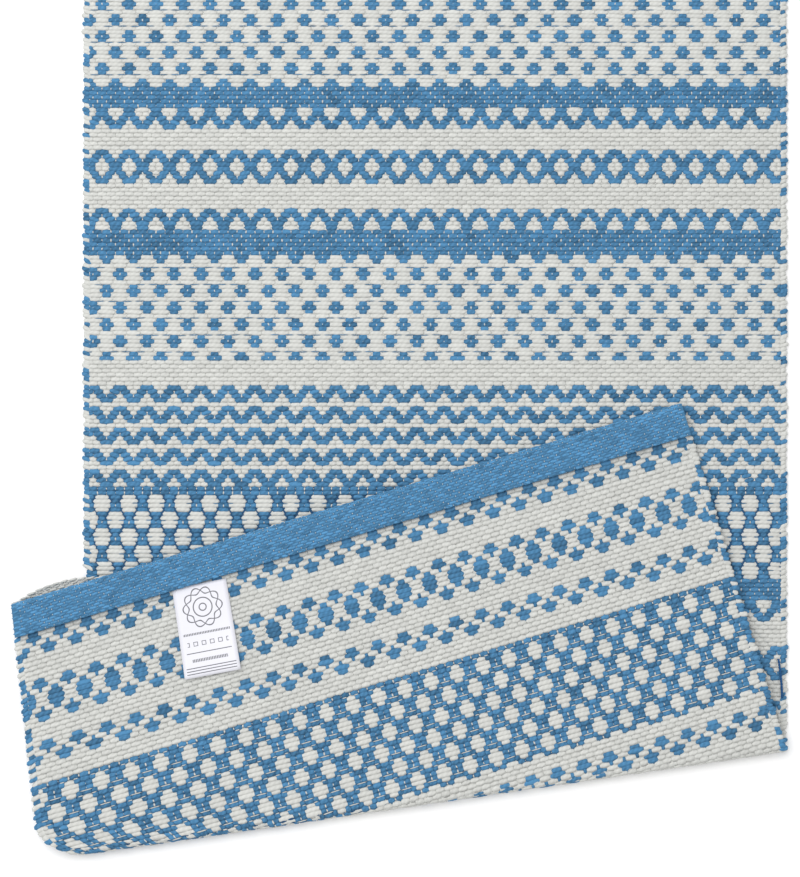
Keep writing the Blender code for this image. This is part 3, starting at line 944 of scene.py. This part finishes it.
def satinMaterial():
    # white satin printed with a plain rosette, four hollow squares and rules
    material = bpy.data.materials.new("printedSatin")
    material.use_nodes = True
    tree = material.node_tree
    shader = tree.nodes["Principled BSDF"]
    shader.inputs["Roughness"].default_value = satin["roughness"]
    labelMap = addNode(tree, "ShaderNodeUVMap", {"uv_map": "labelMap"})
    parts = addNode(tree, "ShaderNodeSeparateXYZ", inputs={0: labelMap.outputs[0]})
    x = addMath(tree, "MULTIPLY", addMath(tree, "SUBTRACT", parts.outputs[0], 0.5), label["width"] * 1000)
    y = addMath(tree, "MULTIPLY", parts.outputs[1], label["length"] * 1000)

    def near(value, middle, reach):
        distance = addMath(tree, "ABSOLUTE", addMath(tree, "SUBTRACT", value, middle))
        return addMath(tree, "LESS_THAN", distance, reach)

    def both(first, second):
        return addMath(tree, "MULTIPLY", first, second)

    below = addMath(tree, "SUBTRACT", y, labelPrint["rosetteAt"])
    radius = addMath(tree, "SQRT", addMath(tree, "ADD", both(x, x), both(below, below)))
    angle = addMath(tree, "ARCTAN2", below, x)
    petals = addMath(tree, "COSINE", addMath(tree, "MULTIPLY", angle, labelPrint["petals"]))
    petals = addMath(tree, "MULTIPLY", petals, labelPrint["petalDepth"])
    marks = [near(addMath(tree, way, radius, petals), labelPrint["petalRadius"], labelPrint["petalLine"])
             for way in ("SUBTRACT", "ADD")]
    marks += [near(radius, ring, labelPrint["ringLine"]) for ring in labelPrint["rings"]]
    for at, thick, wide in labelPrint["rules"]:
        rule = both(near(y, at, thick), near(x, 0.0, wide))
        if thick > labelPrint["brokenFrom"]:
            ripples = addMath(tree, "SINE", addMath(tree, "MULTIPLY", x, labelPrint["breaks"]))
            rule = both(rule, addMath(tree, "GREATER_THAN", ripples, labelPrint["breakWidth"]))
        marks.append(rule)
    every = labelPrint["squareEvery"]
    across = addMath(tree, "PINGPONG", addMath(tree, "ADD", x, labelPrint["squareStart"]), every)
    outer, inner = (both(near(across, every, reach), near(y, labelPrint["squaresAt"], reach))
                    for reach in (labelPrint["squareOuter"], labelPrint["squareInner"]))
    outer = both(outer, near(x, 0.0, labelPrint["squaresReach"]))
    marks.append(addMath(tree, "SUBTRACT", outer, both(outer, inner)))
    printed = marks[0]
    for mark in marks[1:]:
        printed = addMath(tree, "MAXIMUM", printed, mark)
    mixed = addNode(tree, "ShaderNodeMix", {"data_type": "RGBA"}, {
        0: addMath(tree, "MULTIPLY", printed, labelPrint["strength"]), 6: linear("satin"), 7: linear("ink")})
    tree.links.new(mixed.outputs[2], shader.inputs["Base Color"])
    weave = addNode(tree, "ShaderNodeTexNoise", inputs={
        "Vector": labelMap.outputs[0], "Scale": satin["weaveScale"]})
    bump = addNode(tree, "ShaderNodeBump", inputs={
        "Strength": satin["bumpStrength"], "Distance": satin["bumpDistance"], "Height": weave.outputs["Fac"]})
    tree.links.new(bump.outputs[0], shader.inputs["Normal"])
    return material


makeLabel()

print("laying the carried yarn")
carried = {
    "start": 0.5328, "length": 0.033, "fromEdge": 0.0068, "sway": 0.003, "rise": 0.0003,
    "ply": 0.00062, "plyRings": 2, "twist": 0.00048, "turns": 7, "steps": 56,
}


def makeCarriedYarn():
    # a blue two-ply yarn that is carried along the edge from one band to the next
    plies = []
    for ply in (0, 1):
        curve = bpy.data.curves.new("ply", "CURVE")
        curve.dimensions = "3D"
        curve.bevel_depth = carried["ply"]
        curve.bevel_resolution = carried["plyRings"]
        curve.use_fill_caps = True
        line = curve.splines.new("POLY")
        line.points.add(carried["steps"])
        for step in range(carried["steps"] + 1):
            share = step / carried["steps"]
            angle = 2 * math.pi * carried["turns"] * share + math.pi * ply
            line.points[step].co = (
                halfWidth - carried["fromEdge"] + carried["sway"] * math.sin(share * math.pi / 2)
                + carried["twist"] * math.cos(angle),
                -carried["start"] - carried["length"] * share,
                thickness + carried["rise"] + carried["ply"] + carried["twist"] * (1 + math.sin(angle)), 1)
        strand = bpy.data.objects.new("ply", curve)
        bpy.context.scene.collection.objects.link(strand)
        plies.append(strand)
    bpy.ops.object.select_all(action="DESELECT")
    for strand in plies:
        strand.select_set(True)
    bpy.context.view_layer.objects.active = plies[0]
    bpy.ops.object.convert(target="MESH")
    bpy.ops.object.join()
    yarn = bpy.context.active_object
    yarn.name = "carried_yarn"
    yarn.data.materials.clear()
    yarn.data.materials.append(carriedYarn)
    yarn.data.shade_smooth()
    yarn.data.attributes.new("tone", "FLOAT", "POINT")
    yarn.data.uv_layers.new(name="yarnMap")
    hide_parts("carried_blue_yarn")
    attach(yarn, "main_length")


makeCarriedYarn()

print("stage, light and camera")
studio = {
    "floorSize": 12, "floorRoughness": 0.9,
    "sky": 0.75, "lamp": 60.0, "lampSize": 2.6, "lampPlace": (-0.9, 0.6, 2.6), "lampAim": (0, -0.3, 0),
    "height": 2.4, "viewWidth": 0.6856, "viewShape": 877 / 800, "viewMiddle": (-0.030, -0.3441),
}
bpy.ops.mesh.primitive_plane_add(size=studio["floorSize"], location=(0, 0, 0))
floor = bpy.context.active_object
floor.name = "floor"
floorMaterial = bpy.data.materials.new("paleFloor")
floorMaterial.use_nodes = True
floorShader = floorMaterial.node_tree.nodes["Principled BSDF"]
floorShader.inputs["Base Color"].default_value = linear("floor")
floorShader.inputs["Roughness"].default_value = studio["floorRoughness"]
floor.data.materials.append(floorMaterial)
world = bpy.data.worlds.new("studio")
bpy.context.scene.world = world
world.use_nodes = True
world.node_tree.nodes["Background"].inputs["Color"].default_value = (1, 1, 1, 1)
world.node_tree.nodes["Background"].inputs["Strength"].default_value = studio["sky"]
lampData = bpy.data.lights.new("softbox", "AREA")
lampData.energy = studio["lamp"]
lampData.size = studio["lampSize"]
lamp = bpy.data.objects.new("softbox", lampData)
lamp.location = studio["lampPlace"]
lamp.rotation_euler = (Vector(studio["lampAim"]) - lamp.location).to_track_quat("-Z", "Y").to_euler()
bpy.context.scene.collection.objects.link(lamp)
bpy.context.scene.view_settings.view_transform = "Standard"
cameraData = bpy.data.cameras.new("camera")
camera = bpy.data.objects.new("camera", cameraData)
camera.location = (*studio["viewMiddle"], studio["height"])
viewHeight = studio["viewWidth"] * studio["viewShape"]
cameraData.lens = cameraData.sensor_width / 2 * studio["height"] / (viewHeight / 2)
bpy.context.scene.collection.objects.link(camera)
bpy.context.scene.camera = camera
